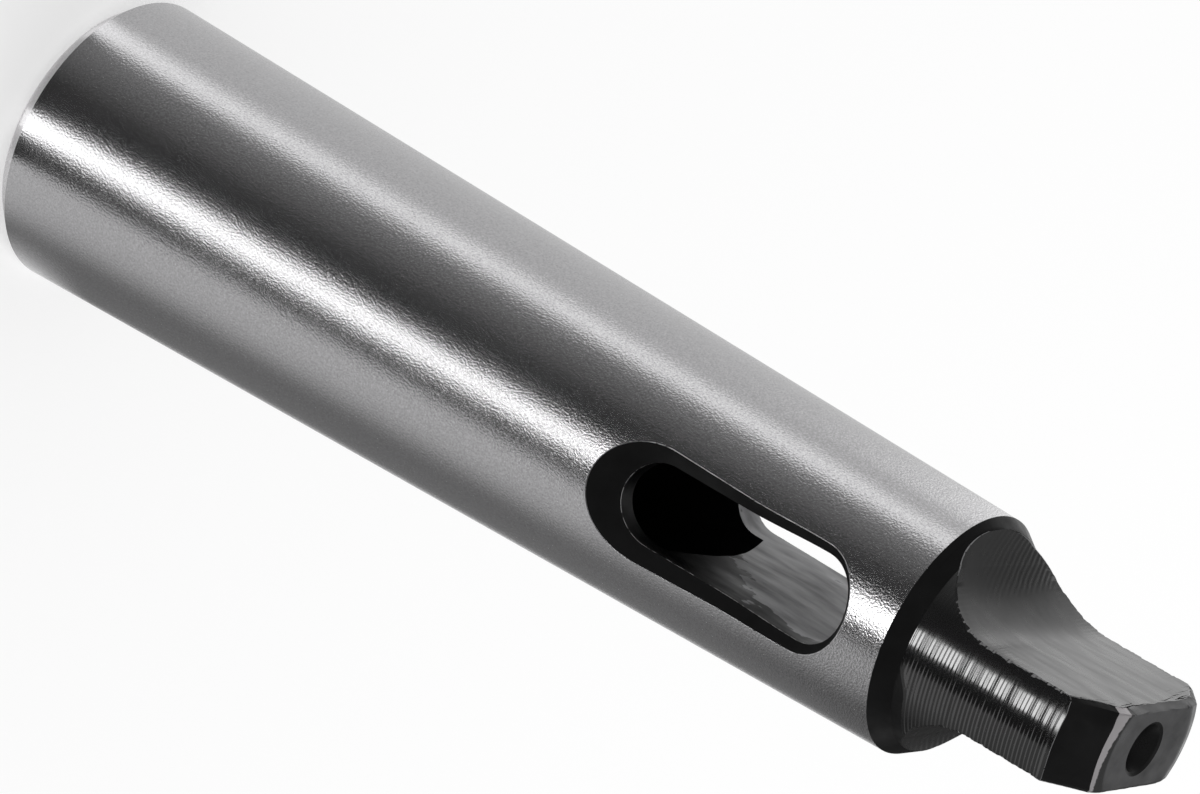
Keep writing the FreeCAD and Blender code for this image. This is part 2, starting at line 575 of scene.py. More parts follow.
@dataclass
class TangEnd:
    """Shoulder, turned neck, milled tang and its end face with the centre hole."""

    sizes: Sizes
    skin: Skin
    columns: int
    flat_columns: int = 6
    ring_pitch: float = 0.46
    rows_in_ring: int = 9
    ring_fade: float = 0.35
    smooth_end: float = 0.75
    end_weights: tuple[float, ...] = (1.0, 0.9, 0.5, 0.0, 0.0, 0.0, 0.0, 0.0, 0.0)
    uncut_steps: int = 4
    cut_steps: int = 24
    cone_steps: int = 14
    cone_split: int = 5
    ring_steps: int = 4
    face_steps: int = 12
    hole_steps: int = 4
    broken_limit: float = 0.25
    nick_share: float = 2.2
    nick_pitch: float = 2.9
    nick_rise: Pair = (0.3125, 0.9375)
    rolled_drop: float = 1.0
    rolled_width: float = 0.4
    rolled_from: float = 134.0
    rolled_pitch: float = 0.9
    rolled_start: float = 40.0
    rolled_bumps: Pair = (0.75, 1.25)
    corner_drop: float = 0.9
    corner_rise: Pair = (6.0, 10.0)
    corner_width: float = 2.0
    kept_corner: float = 0.1
    kept_side: float = 0.3
    late_near: float = 1.05
    late_far: float = 1.3
    late_far_from: float = 1.0
    late_rise_x: Pair = (8.0, -8.0)
    late_rise_z: float = 0.7
    late_fall_z: Pair = (132.0, 124.0)

    @property
    def neck_end(self) -> float:
        """Height up to which the neck's rows are level, just short of the end's chamfer."""
        return self.sizes.length - self.sizes.tang_chamfer_length - self.smooth_end

    @property
    def flat_at_end(self) -> float:
        """Half the tang's thickness at the flats."""
        return self.sizes.tang_thickness / 2

    def radius(self, z: float) -> float:
        """Radius of the shoulder and neck.

        Args:
            z: The height.

        Returns:
            The radius there.
        """
        s = self.sizes
        neck = s.neck_dia / 2
        share = (z - s.outer_taper_length) / s.shoulder_length
        edge = s.outer_radius(s.outer_taper_length)
        return edge + (neck - edge) * share if share < 1 else neck

    def end_height(self, x: float, y: float, side: int) -> float:
        """Height of the chamfer, ring or end face over a point.

        Args:
            x: The point's distance from the X plane.
            y: Its distance from the Y plane.
            side: 1 on the +X side and -1 on the -X side.

        Returns:
            The height above the large end face.
        """
        s = self.sizes
        face = s.end_face_dia / 2
        ring = face + s.end_ring_width
        neck = s.neck_dia / 2 + s.tang_end_offset
        out = math.hypot(x + side * s.tang_end_offset, y)
        if out <= face:
            return s.length
        if out <= ring:
            return s.length - s.end_ring_drop * (out - face) / s.end_ring_width
        drop = (s.tang_chamfer_length - s.end_ring_drop) * (out - ring) / (neck - ring)
        return s.length - s.end_ring_drop - drop

    def first_cut(self) -> float:
        """Find where the milled run-out breaks through the shoulder.

        Returns:
            The height, found by halving.
        """
        low, high = self.sizes.outer_taper_length, self.sizes.length
        for _ in range(50):
            middle = (low + high) / 2
            if self.sizes.half_tang(middle) > self.radius(middle):
                low = middle
            else:
                high = middle
        return high

    def stretches(self) -> list[list[float]]:
        """Return the heights of the level rows.

        Returns:
            Stretches that border each other, from the shoulder to the end of the neck.
        """
        s = self.sizes
        shoulder_end = s.outer_taper_length + s.shoulder_length
        cut = self.first_cut()
        fine = self.ring_pitch / self.rows_in_ring
        steps = round((self.neck_end - shoulder_end) / fine)
        return [
            spread(s.outer_taper_length, cut, self.uncut_steps),
            spread(cut, shoulder_end, self.cut_steps),
            spread(shoulder_end, self.neck_end, steps),
        ]

    def turned_share(self, z: float) -> float:
        """Return how strongly the turned rings show at height z."""
        low = self.sizes.outer_taper_length + self.sizes.shoulder_length
        return max(0.0, min(1.0, (z - low) / self.ring_fade))

    def corner(self, z: float) -> Triple:
        """Return where the turned surface and the flat meet at height z.

        Args:
            z: The height.

        Returns:
            The corner's x and y, and how much of each side its broken edge takes.
        """
        radius = self.radius(z)
        y = min(radius, self.sizes.half_tang(z))
        x = math.sqrt(radius**2 - y**2)
        nick = self.nick_share * ramp(ripple(z, self.nick_pitch), *self.nick_rise)
        return x, y, min(self.sizes.edge_break * (1 + nick), x * self.broken_limit)

    def turned_row(self, z: float) -> Row:
        """Return the turned surface's points at one height.

        Args:
            z: The height.

        Returns:
            The points from the X axis to the milled flat.
        """
        x, y, broken = self.corner(z)
        radius = self.radius(z)
        return ring_row(radius, z, 0.0, math.atan2(y, x) - broken / radius, self.columns)

    def flat_row(self, z: float) -> Row:
        """Return the milled flat's points at height z, from its middle to its edge."""
        x, y, broken = self.corner(z)
        return [(across, y, z) for across in spread(0.0, x - broken, self.flat_columns)]

    def circle_row(self, out: float, side: int) -> Row:
        """Return points of a circle about the axis of the tang's end.

        Args:
            out: The circle's radius.
            side: 1 on the +X side and -1 on the -X side.

        Returns:
            The points from y = 0 to the broken edge of the flat.
        """
        y_end = self.flat_at_end - self.sizes.edge_break / 2
        row = []
        for angle in spread(0.0, math.asin(y_end / out), self.columns):
            x = out * math.cos(angle) - side * self.sizes.tang_end_offset
            y = out * math.sin(angle)
            row.append((x, y, self.end_height(x, y, side)))
        return row

    def neck_rim(self, side: int) -> Row:
        """Return the points where the neck meets the chamfer of the tang's end."""
        level = self.turned_row(self.neck_end)
        return [(x, y, self.end_height(x, y, side)) for x, y, _ in level]

    def cone_rows(self, first: Row, last: Row, side: int, steps: int) -> list[Row]:
        """Return rows between two curves, lifted onto the chamfer.

        Args:
            first: The outer curve.
            last: The inner curve.
            side: 1 on the +X side and -1 on the -X side.
            steps: How many bands lie between the two.

        Returns:
            The rows, the first band of which is split in two.
        """
        rows = between(first, last, steps)
        rows.insert(1, between(first, rows[1], self.cone_split)[1])
        return [[(x, y, self.end_height(x, y, side)) for x, y, _ in row] for row in rows]

    def flat_rows(self, rows: dict[int, list[Row]], side: int) -> list[Row]:
        """Return the flat's rows that end at the given turned rows.

        Args:
            rows: The turned rows of each side.
            side: The side that the flat's rows are for.

        Returns:
            The rows, which are level in the middle of the flat on both sides.
        """
        found = []
        for own, other in zip(rows[side], rows[-side]):
            x, _, z = own[-1]
            middle = (z + other[-1][2]) / 2
            points = []
            wide = x - self.sizes.edge_break / 2
            for share in spread(0.0, 1.0, self.flat_columns):
                points.append((wide * share, self.flat_at_end, middle + (z - middle) * share**2))
            found.append(points)
        return found

    def add_sides(self) -> None:
        """Add the shoulder, neck, flats and the broken edges between them."""
        cut = self.first_cut()
        for heights in self.stretches():
            turned = [self.turned_row(z) for z in heights]
            weights = [self.turned_share(z) for z in heights]
            self.skin.patch(turned, Finish.TURNED if max(weights) > 0.0 else Finish.BEVEL, weights)
            if heights[0] < cut - TOUCH:
                continue
            flat = [self.flat_row(z) for z in heights]
            self.skin.patch(flat, Finish.MILLED)
            self.skin.patch([[t[-1], f[-1]] for t, f in zip(turned, flat)], Finish.EDGE, weights)

    def end_rows(self, side: int) -> tuple[list[Row], list[Row], list[Row]]:
        """Return the turned rows of the tang's end.

        Args:
            side: 1 on the +X side and -1 on the -X side.

        Returns:
            The rows of the last of the neck, of the chamfer and of the ring.
        """
        face_radius = self.sizes.end_face_dia / 2
        rim, face = self.neck_rim(side), self.circle_row(face_radius, side)
        ring = self.circle_row(face_radius + self.sizes.end_ring_width, side)
        neck = between(self.turned_row(self.neck_end), rim, len(self.end_weights) - 1)
        return (neck, self.cone_rows(rim, ring, side, self.cone_steps),
                self.cone_rows(ring, face, side, self.ring_steps))

    def add_end(self) -> None:
        """Add the last of the neck, the chamfer, ring and end face with its centre hole."""
        neck, cone, ring = ({1: plus, -1: minus}
                            for plus, minus in zip(self.end_rows(1), self.end_rows(-1)))
        weights = list(self.end_weights)
        for side, rows in neck.items():
            flat = [self.flat_row(self.neck_end), *self.flat_rows(neck, side)[1:]]
            self.skin.patch(rows, Finish.TURNED, weights, side)
            self.add_flat(rows, flat, weights, side)
        for side, rows in cone.items():
            self.skin.patch(rows[:2], Finish.EDGE, side=side)
            self.skin.patch(rows[1:], Finish.BEVEL, side=side)
            self.add_flat(rows, self.flat_rows(cone, side), None, side)
        for side, rows in ring.items():
            flat = self.flat_rows(ring, side)
            # The ring is bright faced metal on the +X half only, a painted highlight; the -X half
            # keeps the dark end face finish
            self.skin.patch(rows, Finish.RING if side > 0 else Finish.FACE, side=side)
            self.add_flat(rows, flat, None, side)
            self.add_face(rows[-1], flat[-1], side)

    def add_flat(self, turned: list[Row], flat: list[Row], weights: list[float] | None,
                 side: int) -> None:
        """Add the milled flat beside turned rows, and the broken edge between the two.

        Args:
            turned: The turned rows.
            flat: The flat's rows, as many.
            weights: How strongly each row takes the turned rings, or None for not at all.
            side: 1 on the +X side and -1 on the -X side.
        """
        self.skin.patch(flat, Finish.MILLED, side=side)
        edges = [[t[-1], f[-1]] for t, f in zip(turned, flat)]
        self.skin.patch(edges, Finish.EDGE, weights, side)

    def add_face(self, turned: Row, flat: Row, side: int) -> None:
        """Add one side of the end face and of the centre hole inside it.

        Args:
            turned: The turned surface's last row, which starts on the X axis.
            flat: The flat's last row, which starts on the Y axis.
            side: 1 on the +X side and -1 on the -X side.
        """
        s = self.sizes
        border = turned + list(reversed(flat))
        angles = [math.atan2(y, x) for x, y, _ in border]
        seat, pilot = s.centre_seat_dia / 2, s.centre_pilot_dia / 2
        guard = seat + s.centre_guard_width
        guard_depth = cone_height(s.centre_guard_width, s.centre_guard_angle)
        seat_depth = guard_depth + cone_height(seat - pilot, s.centre_seat_angle)
        point = s.centre_pilot_depth + cone_height(pilot, s.centre_point_angle)
        hole = [(guard, 0.0), (seat, guard_depth), (pilot, seat_depth),
                (pilot, s.centre_pilot_depth), (0.0, point)]
        rows = [
            [(r * math.cos(a), r * math.sin(a), s.length - depth) for a in angles]
            for r, depth in hole
        ]
        self.skin.patch(between(border, rows[0], self.face_steps), Finish.FACE, side=side)
        self.skin.patch(rows[:2], Finish.BEVEL, side=side)
        for first, last in zip(rows[1:], rows[2:]):
            self.skin.patch(between(first, last, self.hole_steps), Finish.BORE, side=side)

    def late(self, place: Point) -> Point:
        """Return where a point lies once the cutter of its side has run out a little later.

        Args:
            place: The point, as two equal cutters would leave it.

        Returns:
            The point, slid towards the tang's end where the photo shows more left standing.
        """
        x, y, z = place
        low = self.sizes.outer_taper_length
        if z <= low:
            return place
        far_side = ramp(y, self.late_far_from, self.flat_at_end)
        near = self.late_near * ramp(x, *self.late_rise_x)
        slide = near + (self.late_far - near) * far_side
        moved = z + slide * ramp(z, low, low + self.late_rise_z) * ramp(z, *self.late_fall_z)
        share = self.radius(moved) / self.radius(z)
        return x * share, y * share, moved

    def worn(self, place: Point) -> Point:
        """Return where a point of the tang lies once its end edges are rolled over.

        Args:
            place: The point before.

        Returns:
            The point, lowered near the flats' end edges and the outer corners.
        """
        x, y, z = self.late(place)
        s = self.sizes
        if z <= self.rolled_from:
            return x, y, z
        inside = self.flat_at_end - abs(y)
        low, high = self.rolled_bumps
        bumps = low + (high - low) * ripple(x + self.rolled_start, self.rolled_pitch)
        drop = self.rolled_drop * bumps * ramp(inside, self.rolled_width, 0.0)
        corner = self.corner_drop * (self.kept_corner if x < 0 else 1.0)
        outward = ramp(abs(x + s.tang_end_offset), *self.corner_rise)
        drop += corner * outward * ramp(inside, self.corner_width, 0.0)
        drop *= self.kept_side if y > 0 else 1.0
        share = (z - self.rolled_from) / (s.length - self.rolled_from)
        return x, y, z - drop * share

    def add(self) -> None:
        """Add the whole tang end."""
        self.add_sides()
        self.add_end()
        self.skin.points = [self.worn(place) for place in self.skin.points]


class Nodes:
    """A short way to add and join nodes in one tree."""

    def __init__(self, tree: bpy.types.NodeTree) -> None:
        """Keep the tree and empty it."""
        self.tree = tree
        tree.nodes.clear()

    def add(self, kind: str, inputs: dict | None = None, **settings) -> bpy.types.Node:
        """Add a node.

        Args:
            kind: The node's type name.
            inputs: Socket names or numbers, each with a value or a socket to link from.
            **settings: Properties of the node itself.

        Returns:
            The node.
        """
        node = self.tree.nodes.new(kind)
        for name, value in settings.items():
            setattr(node, name, value)
        for name, value in (inputs or {}).items():
            if isinstance(value, bpy.types.NodeSocket):
                self.tree.links.new(value, node.inputs[name])
            else:
                node.inputs[name].default_value = value
        return node

    def math(self, operation: str, *values) -> Socket:
        """Add a Math node, or its like in a geometry tree, and return its result."""
        return self.add("ShaderNodeMath", dict(enumerate(values)), operation=operation).outputs[0]

    def parts(self, vector: Socket) -> list[Socket]:
        """Return the X, Y and Z parts of a vector."""
        return list(self.add("ShaderNodeSeparateXYZ", {0: vector}).outputs)

    def vector(self, *parts) -> Socket:
        """Return the vector that is made from three parts."""
        return self.add("ShaderNodeCombineXYZ", dict(enumerate(parts))).outputs[0]

    def remap(self, value: Socket, start: float, end: float, low: float = 0.0,
              high: float = 1.0) -> Socket:
        """Return what runs from low to high while the value runs from start to end."""
        inputs = dict(enumerate((value, start, end, low, high)))
        return self.add("ShaderNodeMapRange", inputs).outputs["Result"]


class Surface(Nodes):
    """The nodes of one material, whose textures are read at a point of the object."""

    def __init__(self, tree: bpy.types.NodeTree) -> None:
        """Keep the tree, empty it and find the point."""
        super().__init__(tree)
        self.place = self.add("ShaderNodeTexCoord").outputs["Object"]

    def noise(self, scale: float, detail: float, roughness: float = 0.5,
              place: Socket | None = None) -> Socket:
        """Return noise around 0.5.

        Args:
            scale: How many of its cells fit in a metre.
            detail: How many finer layers it has.
            roughness: How strong each layer is against the one before.
            place: Where it is read, if not at the point.

        Returns:
            The noise.
        """
        return self.add("ShaderNodeTexNoise", {
            "Vector": place or self.place, "Scale": scale, "Detail": detail,
            "Roughness": roughness}).outputs["Fac"]

    def drawn_noise(self, scale: Triple, detail: float) -> Socket:
        """Return noise with cells of its own size along each axis, as many to a metre as given."""
        scaled = self.add("ShaderNodeVectorMath", {0: self.place, 1: scale}, operation="MULTIPLY")
        return self.noise(1.0, detail, place=scaled.outputs[0])

    def blend(self, share: Socket, first: Triple, last: Triple) -> Socket:
        """Return the colour that lies that share of the way from the first to the last."""
        return self.add("ShaderNodeMix", {"Factor": share, "A": (*first, 1.0), "B": (*last, 1.0)},
                        data_type="RGBA").outputs["Result"]


@dataclass
class TurnedRings:
    """The rings that the lathe tool left on the neck, raised by Geometry Nodes."""

    pitch: float = 0.46
    depth: float = 0.042
    rise: float = 0.28
    unevenness: float = 0.65
    seed: int = 7
    crest: float = 0.08
    ringed_from: float = 0.99

    def values(self) -> dict[str, float]:
        """Return what the tree's inputs are set to, by their names."""
        return {"Pitch": self.pitch * MM, "Depth": self.depth * MM, "Rise": self.rise,
                "Unevenness": self.unevenness, "Seed": float(self.seed)}

    def tree(self, material: bpy.types.Material) -> bpy.types.NodeTree:
        """Build the node tree.

        Args:
            material: The material that the ringed faces wear.

        Returns:
            The tree, which has the names of the values as inputs.
        """
        group = bpy.data.node_groups.new("turned_rings", "GeometryNodeTree")
        face = group.interface
        face.new_socket("Geometry", in_out="INPUT", socket_type="NodeSocketGeometry")
        for name in self.values():
            face.new_socket(name, in_out="INPUT", socket_type="NodeSocketFloat")
        face.new_socket("Geometry", in_out="OUTPUT", socket_type="NodeSocketGeometry")
        nodes = Nodes(group)
        given = nodes.add("NodeGroupInput").outputs
        place = nodes.add("GeometryNodeInputPosition").outputs[0]
        x, y, z = nodes.parts(place)
        turns = nodes.math("DIVIDE", z, given["Pitch"])
        share = nodes.math("FRACT", turns)
        rise = nodes.math("DIVIDE", share, given["Rise"])
        fall = nodes.math("DIVIDE", nodes.math("SUBTRACT", 1.0, share),
                          nodes.math("SUBTRACT", 1.0, given["Rise"]))
        crest = nodes.math("SMOOTH_MIN", rise, fall, self.crest)
        ring = nodes.math("FLOOR", turns)
        chance = nodes.add("ShaderNodeTexWhiteNoise",
                           {"W": nodes.math("ADD", ring, given["Seed"])}, noise_dimensions="1D")
        uneven = nodes.math("MULTIPLY", chance.outputs["Value"], given["Unevenness"])
        height = nodes.math("MULTIPLY", crest, nodes.math("SUBTRACT", 1.0, uneven))
        lowered = nodes.math("MULTIPLY", nodes.math("SUBTRACT", height, 1.0), given["Depth"])
        weight = nodes.add("GeometryNodeInputNamedAttribute", {"Name": "turned"},
                           data_type="FLOAT").outputs["Attribute"]
        amount = nodes.math("MULTIPLY", lowered, weight)
        flat = nodes.vector(x, y, 0.0)
        outward = nodes.add("ShaderNodeVectorMath", {0: flat}, operation="NORMALIZE")
        offset = nodes.add("ShaderNodeVectorMath", {0: outward.outputs[0], "Scale": amount},
                           operation="SCALE")
        moved = nodes.add("GeometryNodeSetPosition",
                          {"Geometry": given["Geometry"], "Offset": offset.outputs[0]})
        real = nodes.add("GeometryNodeRealizeInstances", {"Geometry": moved.outputs[0]})
        ringed = nodes.math("GREATER_THAN", weight, self.ringed_from)
        dressed = nodes.add("GeometryNodeSetMaterial",
                            {"Geometry": real.outputs[0], "Selection": ringed, "Material": material})
        nodes.add("NodeGroupOutput", {"Geometry": dressed.outputs[0]})
        return group

    def apply(self, made: bpy.types.Object, material: bpy.types.Material) -> None:
        """Raise the rings on an object and keep the result as its plain mesh.

        Args:
            made: The object, whose points carry the attribute turned.
            material: The material of the ringed faces.
        """
        modifier = made.modifiers.new("turned_rings", "NODES")
        modifier.node_group = self.tree(material)
        values = self.values()
        for item in modifier.node_group.interface.items_tree:
            if item.in_out == "INPUT" and item.name in values:
                modifier[item.identifier] = values[item.name]
        graph = bpy.context.evaluated_depsgraph_get()
        plain = bpy.data.meshes.new_from_object(made.evaluated_get(graph), depsgraph=graph)
        made.modifiers.remove(modifier)
        made.data = plain


@dataclass(frozen=True)
class Steel:
    """A finish of the steel, whose textures follow the object."""

    relief_height: float = 0.003

    def look(self, nodes: Surface) -> Look:
        """Return the relief at a point and the shader's inputs, as each finish has them."""
        raise NotImplementedError

    def make(self, name: str) -> bpy.types.Material:
        """Make the material.

        Args:
            name: Its name.

        Returns:
            The material.
        """
        made = bpy.data.materials.new(name)
        made.use_nodes = True
        nodes = Surface(made.node_tree)
        relief, inputs = self.look(nodes)
        bump = nodes.add("ShaderNodeBump", {"Height": relief, "Strength": 1.0,
                                            "Distance": self.relief_height * MM})
        shine = nodes.add("ShaderNodeBsdfPrincipled", {**inputs, "Normal": bump.outputs["Normal"]})
        nodes.add("ShaderNodeOutputMaterial", {"Surface": shine.outputs["BSDF"]})
        return made


@dataclass(frozen=True)
class GroundSteel(Steel):
    """Ground steel whose fine grain roughens the edges of its reflections."""

    relief_height: float = 0.03
    tint: Triple = (0.605, 0.60, 0.61)
    roughness: float = 0.21
    rough_span: Pair = (0.8, 1.2)
    rough_scale: float = 90.0
    grain: float = 0.22
    speckle: float = 0.15
    speckle_span: Pair = (0.25, 0.75)
    mean_radius: float = 15.0
    lay: float = 0.6
    grind_scale: float = 1.4
    grind_share: float = 0.3
    metal: float = 1.0

    def look(self, nodes: Surface) -> Look:
        """Return the ground surface's look.

        Args:
            nodes: The nodes to add to.

        Returns:
            The relief of the grain and of the marks along the sleeve, and the inputs.
        """
        x, y, z = nodes.parts(nodes.place)
        turn = nodes.math("ARCTAN2", y, x)
        around = nodes.math("MULTIPLY", turn, self.mean_radius * MM * self.lay)
        lengthwise = nodes.vector(around, 0.0, z)
        grain = nodes.noise(1 / (self.grain * MM), 1.5, 0.6)
        grind = nodes.noise(self.grind_scale / (self.grain * MM), 2.0, place=lengthwise)
        relief = nodes.math("ADD", grain, nodes.math("MULTIPLY", grind, self.grind_share))
        broad = nodes.noise(self.rough_scale, 5.0)
        low, high = (self.roughness * share for share in self.rough_span)
        dark, pale = (tuple(part * share for part in self.tint)
                      for share in (1 - self.speckle, 1 + self.speckle))
        color = nodes.blend(nodes.remap(grain, *self.speckle_span), dark, pale)
        return relief, {"Base Color": color, "Metallic": self.metal,
                        "Roughness": nodes.remap(broad, 0.0, 1.0, low, high)}


@dataclass(frozen=True)
class Blackened(Steel):
    """Steel under a thin black oxide, with marks of the tool that cut it."""

    shade: float = 0.006
    roughness: float = 0.22
    ior: float = 1.6
    mark_scale: Triple = (1500.0, 1500.0, 1500.0)
    uneven: float = 0.35
    blue: float = 1.03
    streak_scale: Triple = (300.0, 300.0, 300.0)
    streak_span: Pair = (0.3, 0.7)

    def look(self, nodes: Surface) -> Look:
        """Return the blackened surface's look.

        Args:
            nodes: The nodes to add to.

        Returns:
            The relief of the tool's marks, and the inputs.
        """
        less, more = 1 - self.uneven, 1 + self.uneven
        relief = self.relief(nodes)
        streaks = nodes.drawn_noise(self.streak_scale, 5.0)
        shade = self.paleness(nodes, nodes.remap(
            streaks, *self.streak_span, self.shade * less, self.shade * more))
        color = nodes.add("ShaderNodeCombineColor", {
            "Red": shade, "Green": shade, "Blue": nodes.math("MULTIPLY", shade, self.blue)})
        rough = nodes.remap(
            streaks, *self.streak_span, self.roughness * more, self.roughness * less)
        return relief, {"Base Color": color.outputs["Color"], "Roughness": rough, "IOR": self.ior}

    def relief(self, nodes: Surface) -> Socket:
        """Return the height of the tool's marks at a point, from 0 to 1."""
        return nodes.drawn_noise(self.mark_scale, 4.0)

    def paleness(self, nodes: Surface, shade: Socket) -> Socket:
        """Return the shade at a point, which is the given shade all over."""
        return shade


@dataclass(frozen=True)
class Milled(Blackened):
    """A milled flat, with the slanting marks of the cutter where it ran out."""

    cutter_pitch: float = 1.03
    slant: float = 0.812
    jitter_scale: Triple = (300.0, 300.0, 300.0)
    marks_z: Pair = (116.8, 120.8)
    marks_soft: float = 0.9
    marks_x: Pair = (5.0, -6.0)
    cutter_share: float = 0.8
    fine_share: float = 0.11

    def reach(self, nodes: Surface, x: Socket, z: Socket) -> Socket:
        """Return how strongly the cutter's marks show at a point.

        Args:
            nodes: The nodes to add to.
            x: The point's place along X.
            z: Its height.

        Returns:
            The share, from 0 to 1.
        """
        low, high = metres(self.marks_z)
        soft = self.marks_soft * MM
        above = nodes.remap(z, low, low + soft)
        below = nodes.remap(z, high - soft, high, 1.0, 0.0)
        across = nodes.remap(x, *metres(self.marks_x))
        return nodes.math("MULTIPLY", nodes.math("MULTIPLY", above, below), across)

    def cutter_marks(self, nodes: Surface) -> Socket:
        """Return the waves that the cutter's teeth left.

        Args:
            nodes: The nodes to add to.

        Returns:
            The height of the waves, from 0 to 1.
        """
        x, y, z = nodes.parts(nodes.place)
        along = nodes.math("SUBTRACT", z, nodes.math("ABSOLUTE", y))
        slanted = nodes.math("SUBTRACT", x, nodes.math("MULTIPLY", along, self.slant))
        jitter = nodes.math("MULTIPLY", nodes.drawn_noise(self.jitter_scale, 3.0), MM)
        turn = nodes.math("MULTIPLY", nodes.math("ADD", slanted, jitter),
                          2 * math.pi / (self.cutter_pitch * MM))
        wave = nodes.math("MULTIPLY_ADD", nodes.math("SINE", turn), 0.5, 0.5)
        return nodes.math("MULTIPLY", wave, self.reach(nodes, x, z))

    def relief(self, nodes: Surface) -> Socket:
        """Return the height of the fine marks and of the cutter's waves together."""
        fine = nodes.math("MULTIPLY", super().relief(nodes), self.fine_share)
        return nodes.math("MULTIPLY_ADD", self.cutter_marks(nodes), self.cutter_share, fine)


@dataclass(frozen=True)
class SlotWall(Blackened):
    """The slot's wall, rubbed grey where a drift slides and dark and rough before that, with painted
    shade darkening it towards the +X mouth.
    """

    # Shade of the dark oxide below the rubbed part, also used as painted shade towards the +X mouth
    oxide_and_painted_shade: float = 0.003
    # Depth past which, towards the +X mouth, painted shade darkens the wall where it sees less light
    mouth_shade_x: float = 9.2
    rubbed_from: Pair = (-2.2, 88.8)
    lean: float = 1.15
    steepness: float = 0.65
    border: float = 0.3
    ragged: float = 7.0
    ragged_scale: Triple = (420.0, 420.0, 300.0)

    def paleness(self, nodes: Surface, shade: Socket) -> Socket:
        """Return the shade at a point of the wall.

        Args:
            nodes: The nodes to add to.
            shade: The shade of the rubbed part.

        Returns:
            The shade, which drops to the dark one at the bore, and near the mouth on +X as painted
            shade where the wall sees less light.
        """
        x, _, z = nodes.parts(nodes.place)
        start_x, start_z = self.rubbed_from
        # Painted shade: the wall darkens towards the +X mouth, where it sees less light
        inward = nodes.math("SUBTRACT", self.mouth_shade_x * MM, x)
        above = nodes.math("MULTIPLY", nodes.math("SUBTRACT", z, start_z * MM), self.lean)
        beyond = nodes.math("SUBTRACT", above, nodes.math("SUBTRACT", x, start_x * MM))
        depth = nodes.math("MINIMUM", inward, nodes.math("MULTIPLY", beyond, self.steepness))
        ragged = nodes.math("MULTIPLY", nodes.drawn_noise(self.ragged_scale, 6.0),
                            self.ragged * MM)
        middle = 0.5 * self.ragged
        share = nodes.remap(nodes.math("ADD", depth, ragged), middle * MM,
                            (middle + self.border) * MM)
        gain = nodes.math("MULTIPLY", nodes.math("SUBTRACT", shade, self.oxide_and_painted_shade), share)
        return nodes.math("ADD", gain, self.oxide_and_painted_shade)


@dataclass(frozen=True)
class FacedRing(Steel):
    """The ring at the tang's end, bright metal where the facing tool cut through the oxide, laid as
    a crescent where its highlight falls: partly a painted highlight.
    """

    relief_height: float = 0.01
    axis_x: float = -0.6
    outer: float = 8.6
    # The bright band narrows from -Y to +Y, the crescent of a painted highlight
    width: Pair = (1.35, 0.45)
    at_y: float = 4.5
    ragged: float = 0.5
    ragged_scale: Triple = (2500.0, 2500.0, 2500.0)
    border: float = 0.12
    tint: Triple = (0.5, 0.48, 0.49)
    shade: float = 0.02
    metal: float = 0.7
    roughness: float = 0.45

    def look(self, nodes: Surface) -> Look:
        """Return the faced ring's look.

        Args:
            nodes: The nodes to add to.

        Returns:
            The relief of the ragged border, and the inputs.
        """
        x, y, _ = nodes.parts(nodes.place)
        flat = nodes.vector(nodes.math("SUBTRACT", x, self.axis_x * MM), y, 0.0)
        out = nodes.add("ShaderNodeVectorMath", {0: flat}, operation="LENGTH").outputs["Value"]
        width = nodes.remap(y, *metres((-self.at_y, self.at_y)), *metres(self.width))
        inner = nodes.math("SUBTRACT", self.outer * MM, width)
        ragged = nodes.drawn_noise(self.ragged_scale, 4.0)
        moved = nodes.math("MULTIPLY", nodes.math("SUBTRACT", ragged, 0.5), self.ragged * MM)
        edge = nodes.math("ADD", nodes.math("SUBTRACT", out, inner), moved)
        # Bright faced metal inside the crescent: partly a painted highlight
        bright = nodes.remap(edge, 0.0, self.border * MM)
        return ragged, {"Base Color": nodes.blend(bright, (self.shade,) * 3, self.tint),
                        "Metallic": nodes.math("MULTIPLY", bright, self.metal),
                        "Roughness": self.roughness}


@dataclass(frozen=True)
class WornEdge(Steel):
    """An edge where the oxide is rubbed off in places and bare steel shows."""

    relief_height: float = 0.02
    bare_share: float = 0.5
    contrast: float = 0.4
    border: float = 0.04
    patch: float = 0.9
    bare_tint: Triple = (0.55, 0.55, 0.56)
    metal: float = 1.0
    roughness: float = 0.35
    shade: float = 0.01
    kept_y: Pair = (7.0, 8.0)

    def look(self, nodes: Surface) -> Look:
        """Return the worn edge's look.

        Args:
            nodes: The nodes to add to.

        Returns:
            The relief of the patches, and the inputs.
        """
        patches = nodes.noise(1 / (self.patch * MM), 4.0)
        middle = 0.5 + (0.5 - self.bare_share) * self.contrast
        found = nodes.remap(patches, middle - self.border, middle + self.border)
        _, y, _ = nodes.parts(nodes.place)
        rubbed = nodes.remap(y, *metres(self.kept_y), 1.0, 0.0)
        bare = nodes.math("MULTIPLY", found, rubbed)
        return patches, {"Base Color": nodes.blend(bare, (self.shade,) * 3, self.bare_tint),
                         "Metallic": nodes.math("MULTIPLY", bare, self.metal),
                         "Roughness": self.roughness}


